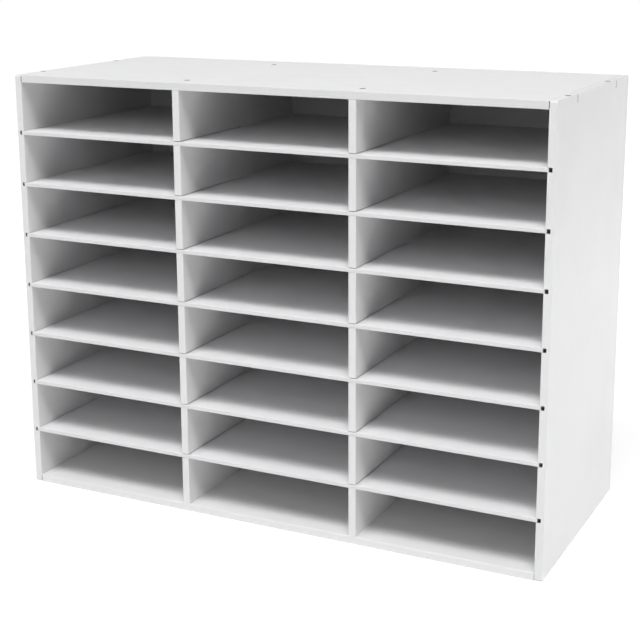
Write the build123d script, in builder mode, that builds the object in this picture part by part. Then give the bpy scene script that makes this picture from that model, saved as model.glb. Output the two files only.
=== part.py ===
"""Open literature sorter: a white board case with three columns and eight rows of compartments.

Millimetres, +Z up. The origin is the centre of the case's footprint, the open front faces -Y.
"""

import os

from build123d import *

os.makedirs("parts", exist_ok=True)

# Compartments
columns = 3
rows = 8
compartment_width = 233.5
compartment_height = 64.6
case_depth = 315.0

# Boards
side_thickness = 10.0
top_thickness = 10.0
bottom_thickness = 10.0
divider_thickness = 10.0
shelf_thickness = 5.0
back_thickness = 3.0
side_corner_radius = 3.0
board_arris = 0.8
shelf_arris = 0.6

# Shelf grooves in the sides
groove_depth = 6.0
shelf_engagement = 2.4
shelf_side_shift = -0.9
shelf_seat_gap = 0.1
groove_top_gap = 0.3

# Halving joints between shelves and dividers
halving_share = 0.5
slot_top_gap = 0.9
divider_clearance = 1.1
stop_clearance = 0.25
shelf_rear_gap = 0.5

# Tabs of the top and bottom panels in the edges of the sides
tab_width = 45.0
front_tab_setback = 55.0
rear_tab_setback = 86.0
tab_front_gap = 0.15
tab_rear_gap = 1.5
panel_end_gap = 0.15
panel_front_setback = 0.2
panel_corner_ease = 0.5

# Rebate for the back panel
rebate_width = 6.0
back_setback = 1.0
back_edge_gap = 0.5

# Countersunk screws
screw_length = 35.0
screw_shank_radius = 1.75
screw_head_radius = 3.2
screw_tip_length = 5.0
screw_head_recess = 0.6
screw_clearance = 0.1
countersink_angle = 90.0
recess_length = 3.6
recess_width = 0.9
recess_depth = 1.1
front_divider_screw_setback = 30.0
rear_divider_screw_setback = 51.0

# Flat-head nails of the back panel
nail_length = 20.0
nail_shank_radius = 0.8
nail_head_radius = 2.2
nail_head_thickness = 0.8
nail_point_length = 2.0
nail_clearance = 0.05
nail_row_step = 2
nails_per_column = 2

# How far every cutting tool runs past the board that it cuts
overrun = 1.0

# Sizes of the whole case
inner_width = columns * compartment_width + (columns - 1) * divider_thickness
case_width = inner_width + 2 * side_thickness
inner_height = rows * compartment_height + (rows - 1) * shelf_thickness
case_height = inner_height + top_thickness + bottom_thickness
column_pitch = compartment_width + divider_thickness
row_pitch = compartment_height + shelf_thickness
front_y = -case_depth / 2
rear_y = case_depth / 2
ceiling_z = case_height - top_thickness

# Back panel and the boards that end at it
rebate_depth = back_thickness + back_setback
back_front_y = rear_y - rebate_depth
back_rear_y = back_front_y + back_thickness
divider_depth = back_front_y - front_y

# Shelves and the cuts that take them
shelf_width = inner_width + 2 * shelf_engagement
shelf_depth = back_front_y - shelf_rear_gap - front_y
groove_height = shelf_thickness + shelf_seat_gap + groove_top_gap
divider_slot_height = shelf_thickness + shelf_seat_gap + slot_top_gap
divider_slot_depth = halving_share * shelf_depth
shelf_slot_length = shelf_depth - divider_slot_depth + stop_clearance
shelf_slot_front_y = front_y + shelf_depth - shelf_slot_length
shelf_slot_width = divider_thickness + 2 * divider_clearance
shelf_bottoms = [ceiling_z - level * row_pitch for level in range(1, rows)]
groove_bottoms = [bottom - shelf_seat_gap for bottom in shelf_bottoms]

# Places along the width and depth
divider_centres = [(number - columns / 2) * column_pitch for number in range(1, columns)]
side_centre = (case_width - side_thickness) / 2
tab_centres = [front_y + front_tab_setback, rear_y - rear_tab_setback]
divider_screw_centres = [front_y + front_divider_screw_setback, rear_y - rear_divider_screw_setback]
top_notch_width = tab_width + tab_front_gap + tab_rear_gap
top_notch_shift = (tab_rear_gap - tab_front_gap) / 2
bottom_notch_width = tab_width + 2 * tab_front_gap
panel_end_x = inner_width / 2 - panel_end_gap
panel_front_y = front_y + panel_front_setback
panel_corner_cut = panel_corner_ease * 2**0.5
side_screw_places = [(side * side_centre, y) for side in (-1, 1) for y in tab_centres]
divider_screw_places = [(x, y) for x in divider_centres for y in divider_screw_centres]

# Nails, as (x, z) places on the back panel
nail_inset = (rebate_width - back_edge_gap) / 2
nail_upright_xs = [-inner_width / 2 - nail_inset, *divider_centres, inner_width / 2 + nail_inset]
first_row_centre = bottom_thickness + compartment_height / 2
nail_upright_zs = [first_row_centre + row * row_pitch for row in range(0, rows, nail_row_step)]
upright_nail_places = [(x, z) for x in nail_upright_xs for z in nail_upright_zs]
nail_cross_count = columns * nails_per_column
nail_cross_pitch = inner_width / nail_cross_count
nail_cross_xs = [(number + 1 / 2) * nail_cross_pitch - inner_width / 2 for number in range(nail_cross_count)]
nail_cross_zs = [bottom_thickness - nail_inset, ceiling_z + nail_inset]
cross_nail_places = [(x, z) for z in nail_cross_zs for x in nail_cross_xs]
nail_hole_radius = nail_shank_radius + nail_clearance
nail_hole_depth = nail_length + nail_clearance

# Screws: the head's cone has the countersink's right angle, so its height is the step from head to shank
screw_head_height = screw_head_radius - screw_shank_radius
screw_hole_radius = screw_shank_radius + screw_clearance
countersink_radius = screw_head_radius + screw_head_recess + screw_clearance
screw_hole_depth = screw_length + screw_head_recess + screw_clearance


def downward(places, height):
    """Locations at a height, for what is drilled or driven down into a face."""
    return [Location((x, y, height)) for x, y in places]


def upward(places, height):
    """Locations at a height, for what is drilled or driven up into a face."""
    return [Location((x, y, height), (180, 0, 0)) for x, y in places]


def forward(places):
    """Locations on the back panel's rear face, for what is drilled or driven forwards into it."""
    return [Location((x, back_rear_y, z), (-90, 0, 0)) for x, z in places]


def write_piece(piece, label):
    """Label a finished piece and write it to its own file."""
    piece.label = label
    export_step(piece, f"parts/{label}.step")


# Left side panel, with grooves on its inner face and notches in its top and bottom edges
left_side_plane = Plane.YZ.offset(-case_width / 2)
groove_floor_plane = left_side_plane.offset(side_thickness - groove_depth)
rebate_floor_plane = left_side_plane.offset(side_thickness - rebate_width)
left_screw_places = [(x, y) for x, y in side_screw_places if x < 0]
left_nail_places = [(x, z) for x, z in upright_nail_places if x < -inner_width / 2]

with BuildPart() as left_side:
    with BuildSketch(left_side_plane):
        Rectangle(case_depth, case_height, align=(Align.CENTER, Align.MIN))
    extrude(amount=side_thickness)
    fillet(left_side.edges().filter_by(Axis.X), side_corner_radius)
    fillet(left_side.faces().sort_by(Axis.X)[0].edges(), board_arris)
    fillet(left_side.edges().filter_by(Axis.Z).group_by(Axis.Y)[0].sort_by(Axis.X)[-1], board_arris)
    with BuildSketch(left_side_plane):
        with Locations(*[(y, 0) for y in tab_centres]):
            Rectangle(bottom_notch_width, 2 * bottom_thickness)
        with Locations(*[(y + top_notch_shift, case_height) for y in tab_centres]):
            Rectangle(top_notch_width, 2 * top_thickness)
    extrude(amount=side_thickness, mode=Mode.SUBTRACT)
    with BuildSketch(groove_floor_plane):
        with Locations(*[(front_y - overrun, z) for z in groove_bottoms]):
            Rectangle(divider_depth + overrun, groove_height, align=Align.MIN)
    extrude(amount=groove_depth, mode=Mode.SUBTRACT)
    with BuildSketch(rebate_floor_plane):
        with Locations((back_front_y, bottom_thickness - rebate_width)):
            Rectangle(rebate_depth + overrun, inner_height + 2 * rebate_width, align=Align.MIN)
    extrude(amount=rebate_width, mode=Mode.SUBTRACT)
    with Locations(*downward(left_screw_places, case_height), *upward(left_screw_places, 0)):
        Hole(screw_hole_radius, depth=screw_hole_depth)
    with Locations(*forward(left_nail_places)):
        Hole(nail_hole_radius, depth=nail_hole_depth)
write_piece(left_side.part, "left_side")

# Right side panel, the mirror image of the left one
with BuildPart() as right_side:
    mirror(left_side.part, about=Plane.YZ)
write_piece(right_side.part, "right_side")


def build_cap(label, floor_z, thickness, rebate_z, outer_level, outer_locations):
    """Top or bottom panel with tabs over the sides, eased front corners, screw holes and a rear rebate.

    The outer level is -1 for the panel whose outer face is its highest one, and 0 for the other.
    """
    with BuildPart() as cap:
        with BuildSketch(Plane.XY.offset(floor_z)):
            with Locations((0, panel_front_y)):
                Rectangle(2 * panel_end_x, rear_y - panel_front_y, align=(Align.CENTER, Align.MIN))
            with Locations(*[(0, y) for y in tab_centres]):
                Rectangle(case_width, tab_width)
        extrude(amount=thickness)
        fillet(cap.edges().filter_by(Axis.X).group_by(Axis.Y)[0], board_arris)
        fillet(cap.edges().filter_by(Axis.X).group_by(Axis.Y)[-1], board_arris)
        for end in (0, -1):
            end_edges = cap.edges().filter_by(Axis.Y).group_by(Axis.X)[end]
            fillet(end_edges.group_by(Axis.Z)[outer_level], board_arris)
        with BuildSketch(Plane.XY.offset(floor_z)):
            with Locations((-panel_end_x, panel_front_y), (panel_end_x, panel_front_y)):
                Rectangle(panel_corner_cut, panel_corner_cut, rotation=45)
        extrude(amount=thickness, mode=Mode.SUBTRACT)
        with BuildSketch(Plane.XY.offset(rebate_z)):
            with Locations((0, back_front_y)):
                Rectangle(inner_width, rebate_depth + overrun, align=(Align.CENTER, Align.MIN))
        extrude(amount=rebate_width, mode=Mode.SUBTRACT)
        with Locations(*outer_locations):
            CounterSinkHole(screw_hole_radius, countersink_radius, thickness, countersink_angle)
        with Locations(*forward(cross_nail_places)):
            Hole(nail_hole_radius, depth=nail_hole_depth)
    write_piece(cap.part, label)


# Top and bottom panels
cap_screw_places = side_screw_places + divider_screw_places
top_holes = downward(cap_screw_places, case_height)
bottom_holes = upward(cap_screw_places, 0)
build_cap("top_panel", ceiling_z, top_thickness, ceiling_z, -1, top_holes)
build_cap("bottom_panel", 0, bottom_thickness, bottom_thickness - rebate_width, 0, bottom_holes)


def build_divider(label, centre_x):
    """Upright between top and bottom panels, slotted from the front for the shelves."""
    divider_plane = Plane.YZ.offset(centre_x - divider_thickness / 2)
    screw_places = [(x, y) for x, y in divider_screw_places if x == centre_x]
    nail_places = [(x, z) for x, z in upright_nail_places if x == centre_x]
    with BuildPart() as divider:
        with BuildSketch(divider_plane):
            with Locations((front_y, bottom_thickness)):
                Rectangle(divider_depth, inner_height, align=Align.MIN)
        extrude(amount=divider_thickness)
        fillet(divider.edges().filter_by(Axis.Z).group_by(Axis.Y)[0], board_arris)
        with BuildSketch(divider_plane):
            with Locations(*[(front_y - overrun, z) for z in groove_bottoms]):
                Rectangle(divider_slot_depth + overrun, divider_slot_height, align=Align.MIN)
        extrude(amount=divider_thickness, mode=Mode.SUBTRACT)
        with Locations(*downward(screw_places, case_height), *upward(screw_places, 0)):
            Hole(screw_hole_radius, depth=screw_hole_depth)
        with Locations(*forward(nail_places)):
            Hole(nail_hole_radius, depth=nail_hole_depth)
    write_piece(divider.part, label)


# Dividers, numbered from left to right
for divider_number, divider_x in enumerate(divider_centres, start=1):
    build_divider(f"divider_{divider_number}", divider_x)

# Shelves, numbered from the top down, slotted from the rear and resting to the left in their play
for shelf_number, shelf_bottom in enumerate(shelf_bottoms, start=1):
    with BuildPart() as shelf:
        with BuildSketch(Plane.XY.offset(shelf_bottom)):
            with Locations((shelf_side_shift, front_y)):
                Rectangle(shelf_width, shelf_depth, align=(Align.CENTER, Align.MIN))
            with Locations(*[(x + shelf_side_shift, shelf_slot_front_y) for x in divider_centres]):
                Rectangle(
                    shelf_slot_width,
                    shelf_slot_length + overrun,
                    align=(Align.CENTER, Align.MIN),
                    mode=Mode.SUBTRACT,
                )
        extrude(amount=shelf_thickness)
        fillet(shelf.edges().filter_by(Axis.X).group_by(Axis.Y)[0], shelf_arris)
    write_piece(shelf.part, f"shelf_{shelf_number}")

# Back panel, let into the rebates at the rear
with BuildPart() as back_panel:
    with BuildSketch(Plane.XZ.offset(-back_front_y)):
        with Locations((0, bottom_thickness + inner_height / 2)):
            Rectangle(
                inner_width + 2 * (rebate_width - back_edge_gap),
                inner_height + 2 * (rebate_width - back_edge_gap),
            )
    extrude(amount=-back_thickness)
    with Locations(*forward(upright_nail_places + cross_nail_places)):
        Hole(nail_hole_radius, depth=nail_hole_depth)
write_piece(back_panel.part, "back_panel")

# One countersunk screw, head up, with its head's face at the origin
with BuildPart() as screw:
    with BuildSketch(Plane.XZ):
        with BuildLine():
            Polyline(
                (0, 0),
                (screw_head_radius, 0),
                (screw_shank_radius, -screw_head_height),
                (screw_shank_radius, screw_tip_length - screw_length),
                (0, -screw_length),
                close=True,
            )
        make_face()
    revolve(axis=Axis.Z)
    with BuildSketch(Plane.XY):
        Rectangle(recess_length, recess_width)
        Rectangle(recess_width, recess_length)
    extrude(amount=-recess_depth, mode=Mode.SUBTRACT)


def build_screws(label, locations):
    """A group of separate screws in one node, one at each location."""
    with BuildPart() as screws:
        with Locations(*locations):
            add(screw.part)
    write_piece(screws.part, label)


# Screws of the top and bottom panels
top_head_z = case_height - screw_head_recess
bottom_head_z = screw_head_recess
build_screws("top_side_screws", downward(side_screw_places, top_head_z))
build_screws("top_divider_screws", downward(divider_screw_places, top_head_z))
build_screws("bottom_side_screws", upward(side_screw_places, bottom_head_z))
build_screws("bottom_divider_screws", upward(divider_screw_places, bottom_head_z))

# One flat-head nail, head up, with the underside of its head at the origin
with BuildPart() as nail:
    with BuildSketch(Plane.XZ):
        with BuildLine():
            Polyline(
                (0, nail_head_thickness),
                (nail_head_radius, nail_head_thickness),
                (nail_head_radius, 0),
                (nail_shank_radius, 0),
                (nail_shank_radius, nail_point_length - nail_length),
                (0, -nail_length),
                close=True,
            )
        make_face()
    revolve(axis=Axis.Z)


def build_nails(label, places):
    """A group of separate nails in one node, one at each place on the back panel."""
    with BuildPart() as nails:
        with Locations(*forward(places)):
            add(nail.part)
    write_piece(nails.part, label)


# Nails of the back panel
build_nails("back_upright_nails", upright_nail_places)
build_nails("back_cross_nails", cross_nail_places)
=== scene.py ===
"""Looks of the open literature sorter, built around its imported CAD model.

Metres, in the CAD model's frame: +Z up, the open front faces -Y and the floor is at height zero.
The boards and nails keep their CAD shapes and get procedural finishes. The screws are rebuilt with
cross recesses and threads. The studio holds a white floor, soft lamps and the photograph's camera.
"""

import logging
import math
from dataclasses import dataclass, replace
from enum import Enum, IntEnum, auto
from functools import reduce
from typing import Any

import bmesh
import bpy
from mathutils import Matrix, Vector


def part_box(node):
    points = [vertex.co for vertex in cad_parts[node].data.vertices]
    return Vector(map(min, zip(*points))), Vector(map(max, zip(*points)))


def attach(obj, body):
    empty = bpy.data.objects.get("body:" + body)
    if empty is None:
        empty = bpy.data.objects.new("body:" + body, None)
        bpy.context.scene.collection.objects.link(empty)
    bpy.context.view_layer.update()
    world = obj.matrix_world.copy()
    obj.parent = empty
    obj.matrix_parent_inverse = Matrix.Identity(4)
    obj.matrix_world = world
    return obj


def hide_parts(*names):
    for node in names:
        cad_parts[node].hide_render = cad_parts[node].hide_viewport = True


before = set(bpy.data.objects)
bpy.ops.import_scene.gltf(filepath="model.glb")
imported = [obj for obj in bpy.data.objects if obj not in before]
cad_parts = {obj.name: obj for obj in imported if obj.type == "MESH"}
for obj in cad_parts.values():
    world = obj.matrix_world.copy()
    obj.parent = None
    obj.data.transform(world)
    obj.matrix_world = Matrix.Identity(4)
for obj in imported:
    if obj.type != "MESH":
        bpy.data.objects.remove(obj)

log = logging.getLogger("literature_sorter")

CASE_BODY = "case"
SCREW_HEAD_RADIUS = 0.0032
WHITE = (1, 1, 1, 1)

# Most values of a noise lie in its middle range.
NOISE_MIDDLE = (0.3, 0.7)
FULL_SHARE = (0.0, 1.0)

# Sockets of the mix node for colours, whose names are not unique.
MIX_SHARE, MIX_FIRST, MIX_SECOND, MIX_RESULT = 0, 6, 7, 2

Colour = tuple[float, float, float, float]
Point = tuple[float, float, float]
FlatPoint = tuple[float, float]
Span = tuple[float, float]
Socket = bpy.types.NodeSocket
Number = Socket | float
Triple = Socket | Vector | Point
Paint = Socket | Colour


class Slot(Enum):
    """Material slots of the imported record."""

    BOARD = "white_board"
    SHELF = "white_shelf_board"
    BACK = "white_back_board"
    SCREW = "screw_steel"
    NAIL = "nail_steel"


class Facing(Enum):
    """The way that a screw's head faces."""

    UP = auto()
    DOWN = auto()


class Axis(IntEnum):
    """The axes across the case's width, along its depth and up its height."""

    X = 0
    Y = 1
    Z = 2


class Graph:
    """A node tree, with short ways to add nodes and join them."""

    def __init__(self, tree: bpy.types.NodeTree) -> None:
        """Take over a node tree and empty it.

        Args:
            tree: The node tree of a material or a world.
        """
        self.tree = tree
        self.tree.nodes.clear()

    def add(
        self, kind: str, inputs: dict[str | int, Any] | None = None, **settings: Any
    ) -> bpy.types.Node:
        """Add a node.

        Args:
            kind: Blender's name of the node's class.
            inputs: Values or sockets for the node's inputs, by name or number.
            settings: Values for the node's own properties.

        Returns:
            The new node.
        """
        node = self.tree.nodes.new(kind)
        for name, value in settings.items():
            setattr(node, name, value)
        for key, value in (inputs or {}).items():
            if isinstance(value, Socket):
                self.tree.links.new(value, node.inputs[key])
            else:
                node.inputs[key].default_value = value
        return node

    def place(self) -> Socket:
        """Give a point's place on its own object, which moves with the object."""
        return self.add("ShaderNodeTexCoord").outputs["Object"]

    def parts(self, triple: Socket) -> list[Socket]:
        """Give the three numbers of a vector."""
        return list(self.add("ShaderNodeSeparateXYZ", {0: triple}).outputs)

    def math(self, operation: str, first: Number, second: Number = 0.0) -> Socket:
        """Give the result of a sum on one or two numbers."""
        return self.add("ShaderNodeMath", {0: first, 1: second}, operation=operation).outputs[0]

    def vector(self, operation: str, first: Triple, second: Triple) -> Socket:
        """Give the result of a sum on two vectors."""
        inputs = {0: first, 1: second}
        return self.add("ShaderNodeVectorMath", inputs, operation=operation).outputs[0]

    def noise(
        self, where: Socket, scale: float, detail: float, stretch: Point = (1, 1, 1)
    ) -> Socket:
        """Give a noise between zero and one.

        Args:
            where: The point that the noise is read at.
            scale: Spots per metre, roughly.
            detail: How many finer layers are added.
            stretch: Factors on the scale along each axis.

        Returns:
            The noise's value.
        """
        stretched = self.vector("MULTIPLY", where, stretch)
        inputs = {"Vector": stretched, "Scale": scale, "Detail": detail}
        return self.add("ShaderNodeTexNoise", inputs).outputs[0]

    def ramp(self, value: Socket, source: Span, target: Span) -> Socket:
        """Map a number smoothly from one range to another and hold it there.

        Args:
            value: The number.
            source: The range that it comes from.
            target: The range that it goes to.

        Returns:
            The mapped number.
        """
        inputs = {
            "Value": value,
            "From Min": source[0],
            "From Max": source[1],
            "To Min": target[0],
            "To Max": target[1],
        }
        return self.add("ShaderNodeMapRange", inputs, interpolation_type="SMOOTHSTEP").outputs[0]

    def blend(self, share: Number, first: Paint, second: Paint) -> Socket:
        """Give the mix of two colours, with the share of the second."""
        inputs = {MIX_SHARE: share, MIX_FIRST: first, MIX_SECOND: second}
        return self.add("ShaderNodeMix", inputs, data_type="RGBA").outputs[MIX_RESULT]

    def bump(self, height: Socket, distance: float, strength: float) -> Socket:
        """Give the surface's direction where a height stands out of it.

        Args:
            height: Height between zero and one.
            distance: Metres that a height of one stands for.
            strength: Share of the full effect.

        Returns:
            The bent surface direction.
        """
        inputs = {"Height": height, "Distance": distance, "Strength": strength}
        return self.add("ShaderNodeBump", inputs).outputs[0]

    def axis_distance(self, axes: list[FlatPoint]) -> Socket:
        """Give the distance of a surface point from the nearest of some upright axes.

        Args:
            axes: The axes' places across the width and the depth.

        Returns:
            The distance in metres.
        """
        flat = self.vector("MULTIPLY", self.place(), (1, 1, 0))
        nodes = [
            self.add("ShaderNodeVectorMath", {0: flat, 1: (x, y, 0)}, operation="DISTANCE")
            for x, y in axes
        ]
        distances = [node.outputs["Value"] for node in nodes]
        return reduce(lambda first, second: self.math("MINIMUM", first, second), distances)

    def inward(self, low: Vector, high: Vector) -> list[Socket]:
        """Give how far a point lies inside a box along each axis.

        Args:
            low: The box's lowest corner.
            high: The box's highest corner.

        Returns:
            The distances in metres from the nearer of the box's two planes on each axis.
        """
        where = self.place()
        from_low = self.vector("SUBTRACT", where, low)
        from_high = self.vector("SUBTRACT", high, where)
        return self.parts(self.vector("MINIMUM", from_low, from_high))

    def surface(self, inputs: dict[str | int, Any]) -> None:
        """Finish a material with the standard shader.

        Args:
            inputs: Values or sockets for the shader's inputs.
        """
        shader = self.add("ShaderNodeBsdfPrincipled", inputs)
        self.add("ShaderNodeOutputMaterial", {0: shader.outputs[0]})


def new_material(name: str) -> tuple[bpy.types.Material, Graph]:
    """Make an empty node material.

    Args:
        name: The material's name.

    Returns:
        The material and its graph.
    """
    material = bpy.data.materials.new(name)
    material.use_nodes = True
    return material, Graph(material.node_tree)


def screw_axes(node: str) -> list[FlatPoint]:
    """Give the places of the four screws of a group, one at each corner of the group's box.

    Args:
        node: The group's CAD node.

    Returns:
        The places across the width and the depth.
    """
    low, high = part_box(node)
    across = (low.x + SCREW_HEAD_RADIUS, high.x - SCREW_HEAD_RADIUS)
    along = (low.y + SCREW_HEAD_RADIUS, high.y - SCREW_HEAD_RADIUS)
    return [(x, y) for x in across for y in along]


@dataclass(frozen=True)
class BoardFinish:
    """White satin paint on fibreboard, a little rubbed along the edges, bare in cuts and holes,
    with painted shade there and in the side joints.

    A board's front and rear edges can have a paint of their own.
    """

    slot: Slot
    paint: Colour
    paint_shade: Colour
    rubbed: Colour
    edge_paint: Colour | None = None
    edge_reach: float = 0.0003
    # Dark colour of bare fibreboard in cuts, ends, joints and screw holes. It is much darker than
    # bare fibreboard, so it also paints the shade that falls in them.
    core_and_shade: Colour = (0.09, 0.087, 0.084, 1)
    cut_across: Axis | None = None
    cut_depth: float = 0.00005
    cut_setback: float = 0.001
    cut_ends: Span | None = None
    # Heights of the dark strip of painted shade in the joint gaps on the sides' inner faces.
    joint_shade_levels: Span | None = None
    joint_shade_half_width: float = 0.3606
    screw_groups: tuple[str, ...] = ()
    countersink_radius: float = 0.00388
    satin: Span = (0.43, 0.51)
    satin_scale: float = 28.0
    satin_detail: float = 4.0
    rub_reach: float = 0.0009
    rub_share: float = 0.15
    rub_scale: float = 45.0
    rub_detail: float = 3.0
    rub_range: Span = (0.42, 0.62)
    cloud_scale: float = 7.0
    cloud_detail: float = 4.0
    peel_scale: float = 650.0
    peel_detail: float = 1.0
    peel_height: float = 0.00006
    peel_strength: float = 0.25

    def edge_share(self, graph: Graph, depths: list[Socket]) -> Socket:
        """Give the share of the rubbed colour, which fades away from the board's edges.

        Args:
            graph: The board's node graph.
            depths: How far a point lies inside the board's box along each axis.

        Returns:
            The share: full where the middle one of the three depths is zero.
        """
        across, along, upward = depths
        smaller = graph.math("MINIMUM", across, along)
        larger = graph.math("MAXIMUM", across, along)
        middle = graph.math("MAXIMUM", smaller, graph.math("MINIMUM", larger, upward))
        return graph.ramp(middle, (0.0, self.rub_reach), (self.rub_share, 0.0))

    def cut_share(self, graph: Graph, depths: list[Socket], thin: Axis) -> Socket:
        """Give one on the walls of grooves, slots and notches and zero on the board's outer faces.

        Args:
            graph: The board's node graph.
            depths: How far a point lies inside the board's box along each axis.
            thin: The axis of the board's thickness.

        Returns:
            The share of the dark colour: bare fibreboard and painted shade on the cut walls.
        """
        others = [depth for number, depth in enumerate(depths) if number != thin]
        below_face = graph.math("GREATER_THAN", depths[thin], self.cut_depth)
        inside = graph.math("GREATER_THAN", graph.math("MINIMUM", *others), self.cut_setback)
        return graph.math("MULTIPLY", below_face, inside)

    def end_share(self, graph: Graph, depths: list[Socket], reach: Span) -> Socket:
        """Give one on a panel's cut ends and their eased corners, between its tabs, or else zero.

        Args:
            graph: The panel's node graph.
            depths: How far a point lies inside the panel's box along each axis.
            reach: How far inside the tabs' ends the cut ends start and stop.

        Returns:
            The share of the dark colour: bare sawn ends and painted shade in the joint gaps.
        """
        behind_tab = graph.math("GREATER_THAN", depths[Axis.X], reach[0])
        before_face = graph.math("LESS_THAN", depths[Axis.X], reach[1])
        below_face = graph.math("GREATER_THAN", depths[Axis.Z], self.cut_setback)
        return graph.math("MULTIPLY", graph.math("MULTIPLY", behind_tab, before_face), below_face)

    def joint_shade_share(self, graph: Graph, depths: list[Socket], levels: Span) -> Socket:
        """Give one on a side's inner face where the panels butt against it, where a dark strip is
        painted shade in the joint gaps, and zero elsewhere.

        Args:
            graph: The side's node graph.
            depths: How far a point lies inside the side's box along each axis.
            levels: Heights inside the side's upper and lower ends between which a panel lies.

        Returns:
            The share of the painted shade.
        """
        across = graph.parts(graph.place())[Axis.X]
        inner = graph.math("LESS_THAN", graph.math("ABSOLUTE", across), self.joint_shade_half_width)
        inside = graph.math("GREATER_THAN", depths[Axis.Z], levels[0])
        near_end = graph.math("LESS_THAN", depths[Axis.Z], levels[1])
        return graph.math("MULTIPLY", inner, graph.math("MULTIPLY", inside, near_end))

    def painted(self, graph: Graph, where: Socket, depths: list[Socket]) -> Socket:
        """Give the colour of the paint.

        Args:
            graph: The board's node graph.
            where: The point that the colour is read at.
            depths: How far a point lies inside the board's box along each axis.

        Returns:
            The clouded colour, with its own paint on sawn edges and rubbed patches along the edges.
        """
        clouds = graph.noise(where, self.cloud_scale, self.cloud_detail)
        shade = graph.ramp(clouds, NOISE_MIDDLE, FULL_SHARE)
        colour = graph.blend(shade, self.paint, self.paint_shade)
        if self.edge_paint is not None:
            sawn = graph.math("LESS_THAN", depths[Axis.Y], self.edge_reach)
            colour = graph.blend(sawn, colour, self.edge_paint)
        patches = graph.noise(where, self.rub_scale, self.rub_detail)
        worn = graph.ramp(patches, self.rub_range, FULL_SHARE)
        rub = graph.math("MULTIPLY", self.edge_share(graph, depths), worn)
        return graph.blend(rub, colour, self.rubbed)

    def bared_and_shaded(self, graph: Graph, depths: list[Socket], colour: Socket) -> Socket:
        """Paint the board's cuts, ends, joint faces and screw holes in the dark colour, which is
        bare fibreboard and painted shade.

        Args:
            graph: The board's node graph.
            depths: How far a point lies inside the board's box along each axis.
            colour: The colour of the paint.

        Returns:
            The colour of paint, bare fibreboard and painted shade.
        """
        shares: list[Socket] = []
        if self.cut_across is not None:
            shares.append(self.cut_share(graph, depths, self.cut_across))
        if self.cut_ends is not None:
            shares.append(self.end_share(graph, depths, self.cut_ends))
        if self.joint_shade_levels is not None:
            shares.append(self.joint_shade_share(graph, depths, self.joint_shade_levels))
        # Countersinks get the dark colour: bare fibreboard and painted shade in the holes around
        # the screw heads.
        if self.screw_groups:
            axes = [axis for group in self.screw_groups for axis in screw_axes(group)]
            distance = graph.axis_distance(axes)
            shares.append(graph.math("LESS_THAN", distance, self.countersink_radius))
        # Each share blends in the dark colour, bare fibreboard and painted shade.
        for share in shares:
            colour = graph.blend(share, colour, self.core_and_shade)
        return colour

    def make(self, node: str) -> bpy.types.Material:
        """Make the finish for one board, with its rubbed edges where that board ends.

        Args:
            node: The board's CAD node.

        Returns:
            The board's material.
        """
        material, graph = new_material(f"{self.slot.value}.{node}")
        where = graph.place()
        depths = graph.inward(*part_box(node))
        sheen = graph.noise(where, self.satin_scale, self.satin_detail)
        peel = graph.noise(where, self.peel_scale, self.peel_detail)
        graph.surface({
            "Base Color": self.bared_and_shaded(graph, depths, self.painted(graph, where, depths)),
            "Roughness": graph.ramp(sheen, NOISE_MIDDLE, self.satin),
            "Normal": graph.bump(peel, self.peel_height, self.peel_strength),
        })
        return material


@dataclass(frozen=True)
class HardboardFinish:
    """White paint on hardboard: smooth inside, with the press screen's weave on the rear face."""

    slot: Slot
    paint: Colour
    paint_shade: Colour
    roughness: Span = (0.5, 0.62)
    cloud_scale: float = 9.0
    cloud_detail: float = 4.0
    fibre_scale: float = 180.0
    fibre_detail: float = 5.0
    weave_pitch: float = 0.0021
    weave_height: float = 0.00012
    weave_strength: float = 0.5

    def make(self, node: str) -> bpy.types.Material:
        """Make the finish for the back panel.

        Args:
            node: The back panel's CAD node.

        Returns:
            The panel's material.
        """
        material, graph = new_material(f"{self.slot.value}.{node}")
        low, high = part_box(node)
        where = graph.place()
        across, along, upward = graph.parts(where)
        waves = math.tau / self.weave_pitch
        wires_across = graph.math("SINE", graph.math("MULTIPLY", across, waves))
        wires_upward = graph.math("SINE", graph.math("MULTIPLY", upward, waves))
        rear = graph.math("GREATER_THAN", along, (low.y + high.y) / 2)
        weave = graph.math("MULTIPLY", graph.math("MULTIPLY", wires_across, wires_upward), rear)
        fibres = graph.noise(where, self.fibre_scale, self.fibre_detail)
        clouds = graph.noise(where, self.cloud_scale, self.cloud_detail)
        shade = graph.ramp(clouds, NOISE_MIDDLE, FULL_SHARE)
        relief = graph.math("ADD", weave, fibres)
        graph.surface({
            "Base Color": graph.blend(shade, self.paint, self.paint_shade),
            "Roughness": graph.ramp(fibres, NOISE_MIDDLE, self.roughness),
            "Normal": graph.bump(relief, self.weave_height, self.weave_strength),
        })
        return material


@dataclass(frozen=True)
class SteelFinish:
    """Plated steel with uneven plating and fine drawing marks."""

    slot: Slot
    bright: Colour
    dull: Colour
    glance: Colour = (0.45, 0.45, 0.46, 1)
    roughness: Span = (0.28, 0.5)
    plating_scale: float = 900.0
    plating_detail: float = 3.0
    plating_range: Span = (0.35, 0.65)
    mark_scale: float = 2500.0
    mark_detail: float = 2.0
    mark_stretch: Point = (1.0, 0.15, 1.0)
    mark_height: float = 0.00004
    mark_strength: float = 0.4

    def make(self, node: str) -> bpy.types.Material:
        """Make the finish for one group of fasteners.

        Args:
            node: The group's CAD node.

        Returns:
            The group's material.
        """
        material, graph = new_material(f"{self.slot.value}.{node}")
        where = graph.place()
        plating = graph.noise(where, self.plating_scale, self.plating_detail)
        marks = graph.noise(where, self.mark_scale, self.mark_detail, self.mark_stretch)
        dullness = graph.ramp(plating, self.plating_range, FULL_SHARE)
        graph.surface({
            "Base Color": graph.blend(dullness, self.bright, self.dull),
            "Metallic": 1.0,
            "Specular Tint": self.glance,
            "Roughness": graph.ramp(plating, NOISE_MIDDLE, self.roughness),
            "Normal": graph.bump(marks, self.mark_height, self.mark_strength),
        })
        return material


Finish = BoardFinish | HardboardFinish | SteelFinish

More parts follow.
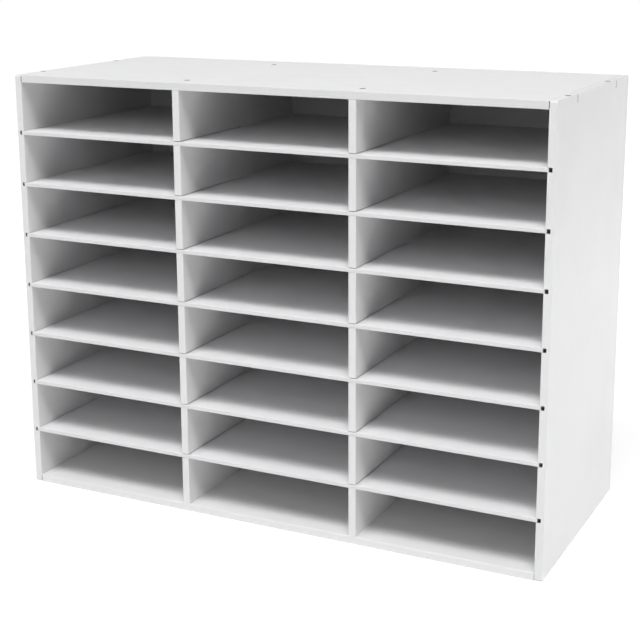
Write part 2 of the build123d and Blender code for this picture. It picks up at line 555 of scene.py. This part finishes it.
EDGE_PAINT = (0.74, 0.74, 0.745, 1)
BOARD_PAINT = BoardFinish(
    Slot.BOARD,
    paint=(0.80, 0.80, 0.805, 1),
    paint_shade=(0.785, 0.785, 0.79, 1),
    rubbed=(0.66, 0.655, 0.645, 1),
)
# Uprights get the dark colour, bare fibreboard and painted shade, on the walls of their grooves,
# slots and notches.
UPRIGHT_PAINT = replace(BOARD_PAINT, cut_across=Axis.X)
# The sides get a dark strip of painted shade where the top and bottom panels butt against them.
SIDE_PAINT = replace(UPRIGHT_PAINT, joint_shade_levels=(0.001, 0.009))
# The top's sawn ends between its tabs, and its screw holes, get the dark colour of bare fibreboard
# and painted shade.
TOP_PAINT = replace(
    BOARD_PAINT,
    edge_paint=EDGE_PAINT,
    cut_ends=(0.01, 0.01066),
    screw_groups=("top_side_screws", "top_divider_screws"),
)
# The bottom's screw holes get the dark colour of bare fibreboard and painted shade.
BOTTOM_PAINT = replace(
    BOARD_PAINT, screw_groups=("bottom_side_screws", "bottom_divider_screws")
)
SHELF_PAINT = BoardFinish(
    Slot.SHELF,
    paint=(0.828, 0.821, 0.831, 1),
    paint_shade=(0.813, 0.806, 0.816, 1),
    rubbed=(0.68, 0.675, 0.665, 1),
    edge_paint=EDGE_PAINT,
    # Slot walls get the dark colour, bare fibreboard and painted shade.
    cut_across=Axis.Z,
)
BACK_PAINT = HardboardFinish(
    Slot.BACK, paint=(0.78, 0.78, 0.785, 1), paint_shade=(0.76, 0.76, 0.765, 1)
)
SCREW_ZINC = SteelFinish(Slot.SCREW, bright=(0.24, 0.24, 0.25, 1), dull=(0.15, 0.15, 0.16, 1))
NAIL_STEEL = SteelFinish(Slot.NAIL, bright=(0.42, 0.42, 0.43, 1), dull=(0.30, 0.30, 0.31, 1))


def dress(node: str, finish: Finish) -> None:
    """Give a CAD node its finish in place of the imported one.

    Args:
        node: The CAD node.
        finish: The finish that it gets.
    """
    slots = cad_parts[node].data.materials
    slots.clear()
    slots.append(finish.make(node))
    log.info("%s dressed as %s", node, finish.slot.value)


@dataclass(frozen=True)
class CaseBoards:
    """The boards of the case: sides, top, bottom and dividers."""

    sides: tuple[str, ...] = ("left_side", "right_side")
    dividers: tuple[str, ...] = ("divider_1", "divider_2")
    top: str = "top_panel"
    bottom: str = "bottom_panel"

    def dress(self) -> None:
        """Paint each board."""
        for node in self.sides:
            dress(node, SIDE_PAINT)
        for node in self.dividers:
            dress(node, UPRIGHT_PAINT)
        dress(self.top, TOP_PAINT)
        dress(self.bottom, BOTTOM_PAINT)


@dataclass(frozen=True)
class Shelves:
    """The thin shelves that slide in from the front."""

    count: int = 7

    def dress(self) -> None:
        """Paint each shelf."""
        for number in range(1, self.count + 1):
            dress(f"shelf_{number}", SHELF_PAINT)


@dataclass(frozen=True)
class Back:
    """The back panel with its nails."""

    panel: str = "back_panel"
    nails: tuple[str, ...] = ("back_upright_nails", "back_cross_nails")

    def dress(self) -> None:
        """Paint the panel and give the nails their steel."""
        dress(self.panel, BACK_PAINT)
        for node in self.nails:
            dress(node, NAIL_STEEL)


@dataclass(frozen=True)
class Screws:
    """Groups of four countersunk screws, each at a corner of its group's box."""

    length: float = 0.035
    head_radius: float = SCREW_HEAD_RADIUS
    rim_round: float = 0.00015
    rim_height: float = 0.00035
    crest_radius: float = 0.00172
    root_radius: float = 0.0012
    thread_pitch: float = 0.0016
    thread_steps: int = 6
    thread_steepness: float = 2.2
    tip_length: float = 0.005
    wing_length: float = 0.0018
    wing_width: float = 0.00045
    recess_depth: float = 0.0011
    recess_taper: float = 0.55
    sharp_angle: float = 35.0
    turns: tuple[float, ...] = (14.0, 61.0, 37.0, 82.0)

    def angles(self) -> list[float]:
        """Give the angles of a ring's points, which meet every corner of the cross recess."""
        corner = math.atan2(self.wing_width, self.wing_length)
        quarter = math.pi / 4
        middle = (corner + quarter) / 2
        one_wing = [-quarter, -middle, -corner, -corner / 2, 0.0, corner / 2, corner, middle]
        return [wing * math.pi / 2 + angle for wing in range(4) for angle in one_wing]

    def cross_radius(self, angle: float) -> float:
        """Give the cross recess's outline.

        Args:
            angle: Angle about the screw's axis.

        Returns:
            The outline's distance from the axis.
        """
        turned = (angle + math.pi / 4) % (math.pi / 2) - math.pi / 4
        side = abs(math.sin(turned))
        tip = self.wing_length / math.cos(turned)
        return min(tip, self.wing_width / side) if side > 0 else tip

    def thread_radius(self, angle: float, height: float) -> float:
        """Give the thread's outline.

        Args:
            angle: Angle about the screw's axis.
            height: Height below the head's face, negative.

        Returns:
            The distance from the axis: the crest on the helix, the root between its turns.
        """
        phase = (height / self.thread_pitch + angle / math.tau) % 1.0
        ridge = max(0.0, 1.0 - abs(2.0 * phase - 1.0) * self.thread_steepness)
        taper = min(1.0, (self.length + height) / self.tip_length)
        return (self.root_radius + (self.crest_radius - self.root_radius) * ridge) * taper

    def rings(self) -> list[list[Point]]:
        """Give the rings of one screw, from the recess over the head and down the thread."""
        angles = self.angles()
        rings: list[list[Point]] = []

        def ring(radii: list[float], height: float) -> None:
            """Add one ring of points at a height."""
            points = [(r * math.cos(a), r * math.sin(a), height) for r, a in zip(radii, angles)]
            rings.append(points)

        cross = [self.cross_radius(angle) for angle in angles]
        ring([radius * self.recess_taper for radius in cross], -self.recess_depth)
        ring(cross, 0.0)
        ring([self.head_radius - self.rim_round] * len(angles), 0.0)
        ring([self.head_radius] * len(angles), -self.rim_round)
        ring([self.head_radius] * len(angles), -self.rim_height)
        neck = -self.rim_height - (self.head_radius - self.crest_radius)
        ring([self.crest_radius] * len(angles), neck)
        step = self.thread_pitch / self.thread_steps
        count = int((self.length + neck) / step)
        for number in range(1, count):
            height = neck - number * step
            ring([self.thread_radius(angle, height) for angle in angles], height)
        return rings

    def add_screw(self, mesh: bmesh.types.BMesh, matrix: Matrix) -> None:
        """Add one screw to a mesh.

        Args:
            mesh: The mesh that the screw joins.
            matrix: Where the screw's head face goes.
        """
        rows = [
            [mesh.verts.new(matrix @ Vector(point)) for point in ring] for ring in self.rings()
        ]
        bottom = mesh.verts.new(matrix @ Vector((0, 0, -self.recess_depth)))
        tip = mesh.verts.new(matrix @ Vector((0, 0, -self.length)))
        count = len(rows[0])
        for number in range(count):
            after = (number + 1) % count
            mesh.faces.new((bottom, rows[0][number], rows[0][after]))
            for upper, lower in zip(rows, rows[1:]):
                mesh.faces.new((upper[number], lower[number], lower[after], upper[after]))
            mesh.faces.new((tip, rows[-1][after], rows[-1][number]))

    def build(self, node: str, facing: Facing) -> None:
        """Build the screws of one group over their CAD node.

        Args:
            node: The group's CAD node.
            facing: The way that the heads face.
        """
        low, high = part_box(node)
        face = high.z if facing is Facing.UP else low.z
        flip = Matrix.Rotation(0.0 if facing is Facing.UP else math.pi, 4, "X")
        mesh = bmesh.new()
        for (x, y), turn in zip(screw_axes(node), self.turns):
            spin = Matrix.Rotation(math.radians(turn), 4, "Z")
            self.add_screw(mesh, Matrix.Translation((x, y, face)) @ flip @ spin)
        bmesh.ops.recalc_face_normals(mesh, faces=mesh.faces)
        data = bpy.data.meshes.new(f"{node}_threaded")
        mesh.to_mesh(data)
        mesh.free()
        data.materials.append(SCREW_ZINC.make(node))
        data.set_sharp_from_angle(angle=math.radians(self.sharp_angle))
        piece = bpy.data.objects.new(f"{node}_threaded", data)
        bpy.context.scene.collection.objects.link(piece)
        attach(piece, CASE_BODY)
        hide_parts(node)
        log.info("%s rebuilt with threads", node)

    def build_all(self) -> None:
        """Build the screws of the top and the bottom panel."""
        for group in ("side_screws", "divider_screws"):
            self.build(f"top_{group}", Facing.UP)
            self.build(f"bottom_{group}", Facing.DOWN)


@dataclass(frozen=True)
class SoftBox:
    """A flat lamp that faces a point and isn't seen itself."""

    name: str
    place: Point
    target: Point
    width: float
    height: float
    power: float
    mirrored: bool = True

    def build(self) -> None:
        """Hang the lamp and turn it to its target."""
        data = bpy.data.lights.new(self.name, "AREA")
        data.shape = "RECTANGLE"
        data.size = self.width
        data.size_y = self.height
        data.energy = self.power
        lamp = bpy.data.objects.new(self.name, data)
        lamp.location = self.place
        aim = Vector(self.target) - Vector(self.place)
        lamp.rotation_euler = aim.to_track_quat("-Z", "Y").to_euler()
        lamp.visible_camera = False
        lamp.visible_glossy = self.mirrored
        bpy.context.scene.collection.objects.link(lamp)


MIDDLE = (0.0, 0.0, 0.3)
RIGHT_FOOT = (0.37, 0.0, 0.03)
RIGHT_TOP = (0.37, 0.0, 0.57)
FRONT_LOW = (0.0, -0.16, 0.12)
LEFT_MIDDLE = (-0.37, 0.0, 0.28)
REAR_MIDDLE = (0.0, 0.16, 0.28)

# The low lamps stand for the light that a bright room throws back onto the case from all around.
SOFT_BOXES = (
    SoftBox("key_above_left", (-1.721, -2.457, 5.496), MIDDLE, 2.1, 2.1, 92.0),
    SoftBox("key_above_front", (0.0, -3.0, 5.496), MIDDLE, 2.1, 2.1, 54.0),
    SoftBox("key_above_right", (1.721, -2.457, 5.496), MIDDLE, 2.1, 2.1, 187.0),
    SoftBox("fill_front", (0.0, -5.638, 2.352), MIDDLE, 2.8, 2.8, 20.0, mirrored=False),
    SoftBox("fill_left", (-2.636, -3.765, 4.157), MIDDLE, 2.8, 2.8, 28.5),
    SoftBox("low_right_front", (1.3, -0.4, 0.06), RIGHT_FOOT, 0.8, 0.1, 2.1, mirrored=False),
    SoftBox("low_right_rear", (1.3, 0.5, 0.06), RIGHT_FOOT, 0.8, 0.1, 3.4, mirrored=False),
    SoftBox("high_right", (1.8, -0.2, 1.1), RIGHT_TOP, 1.2, 0.2, 1.4, mirrored=False),
    SoftBox("low_front", (0.0, -0.75, 0.06), FRONT_LOW, 1.0, 0.1, 0.4, mirrored=False),
    SoftBox("low_left", (-2.0, 0.0, 0.28), LEFT_MIDDLE, 1.2, 0.5, 11.0, mirrored=False),
    SoftBox("low_rear", (0.0, 2.0, 0.28), REAR_MIDDLE, 1.6, 0.5, 25.0, mirrored=False),
)


@dataclass(frozen=True)
class Studio:
    """White floor, white surroundings and soft lamps."""

    half_floor: float = 12.0
    floor_bounce: Colour = (0.8, 0.8, 0.8, 1)
    floor_shade: Colour = (0.35, 0.35, 0.35, 1)
    glow_near: float = 0.72
    glow_far: float = 1.0
    glow_reach: Span = (0.5, 1.6)
    boxes: tuple[SoftBox, ...] = SOFT_BOXES

    def seen(self, graph: Graph) -> Socket:
        """Give one for rays that show the surroundings, and zero for rays that only light."""
        path = graph.add("ShaderNodeLightPath").outputs
        shown = graph.math("MAXIMUM", path["Is Camera Ray"], path["Is Glossy Ray"])
        return graph.math("MAXIMUM", shown, path["Is Transmission Ray"])

    def build_floor(self) -> None:
        """Lay a white floor that keeps the case's shadow."""
        mesh = bmesh.new()
        bmesh.ops.create_grid(mesh, x_segments=1, y_segments=1, size=self.half_floor)
        data = bpy.data.meshes.new("studio_floor")
        mesh.to_mesh(data)
        mesh.free()
        material, graph = new_material("studio_floor")
        reach = graph.add("ShaderNodeVectorMath", {0: graph.place()}, operation="LENGTH")
        distance = reach.outputs["Value"]
        glow = graph.ramp(distance, self.glow_reach, (self.glow_near, self.glow_far))
        shade = graph.add("ShaderNodeBsdfDiffuse", {"Color": self.floor_shade}).outputs[0]
        light = graph.add("ShaderNodeEmission", {"Strength": glow}).outputs[0]
        shown = graph.add("ShaderNodeAddShader", {0: shade, 1: light}).outputs[0]
        plain = graph.add("ShaderNodeBsdfDiffuse", {"Color": self.floor_bounce}).outputs[0]
        mixed = graph.add("ShaderNodeMixShader", {0: self.seen(graph), 1: plain, 2: shown})
        graph.add("ShaderNodeOutputMaterial", {0: mixed.outputs[0]})
        data.materials.append(material)
        floor = bpy.data.objects.new("studio_floor", data)
        bpy.context.scene.collection.objects.link(floor)

    def build_surroundings(self) -> None:
        """Surround the case with white that is seen but leaves the lighting to the lamps."""
        world = bpy.data.worlds.new("studio")
        world.use_nodes = True
        bpy.context.scene.world = world
        graph = Graph(world.node_tree)
        inputs = {"Color": WHITE, "Strength": self.seen(graph)}
        white = graph.add("ShaderNodeBackground", inputs).outputs[0]
        graph.add("ShaderNodeOutputWorld", {0: white})

    def build(self) -> None:
        """Set up the studio."""
        self.build_floor()
        self.build_surroundings()
        for box in self.boxes:
            box.build()
        bpy.context.scene.view_settings.view_transform = "Standard"
        log.info("studio with %d lamps", len(self.boxes))


@dataclass(frozen=True)
class PhotoCamera:
    """The photograph's camera, solved from the edges of the case."""

    place: Point = (0.8033, -1.6324, 0.7496)
    azimuth: float = -26.16
    elevation: float = 13.03
    roll: float = -0.27
    focal_pixels: float = 1385.6
    picture_pixels: float = 640.0
    sensor_width: float = 36.0
    shift: tuple[float, float] = (0.0, -0.10)

    def build(self) -> None:
        """Set up the camera."""
        around, above, tilt = map(math.radians, (self.azimuth, self.elevation, self.roll))
        level_reach = math.cos(above)
        ahead = Vector(
            (math.sin(around) * level_reach, math.cos(around) * level_reach, -math.sin(above))
        )
        level = Vector((math.cos(around), -math.sin(around), 0.0))
        upright = level.cross(ahead)
        right = level * math.cos(tilt) + upright * math.sin(tilt)
        up = upright * math.cos(tilt) - level * math.sin(tilt)
        turn = Matrix((right, up, -ahead)).transposed().to_4x4()
        data = bpy.data.cameras.new("photo_camera")
        data.sensor_width = self.sensor_width
        data.lens = self.focal_pixels * self.sensor_width / self.picture_pixels
        data.shift_x, data.shift_y = self.shift
        camera = bpy.data.objects.new("photo_camera", data)
        camera.matrix_world = Matrix.Translation(self.place) @ turn
        bpy.context.scene.collection.objects.link(camera)
        bpy.context.scene.camera = camera
        log.info("camera with a lens of %.1f mm", data.lens)


def main() -> None:
    """Dress the CAD model, rebuild its screws and set up the studio and the camera."""
    logging.basicConfig(level=logging.INFO, format="%(name)s: %(message)s")
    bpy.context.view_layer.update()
    CaseBoards().dress()
    Shelves().dress()
    Back().dress()
    Screws().build_all()
    Studio().build()
    PhotoCamera().build()


if __name__ == "__main__":
    main()
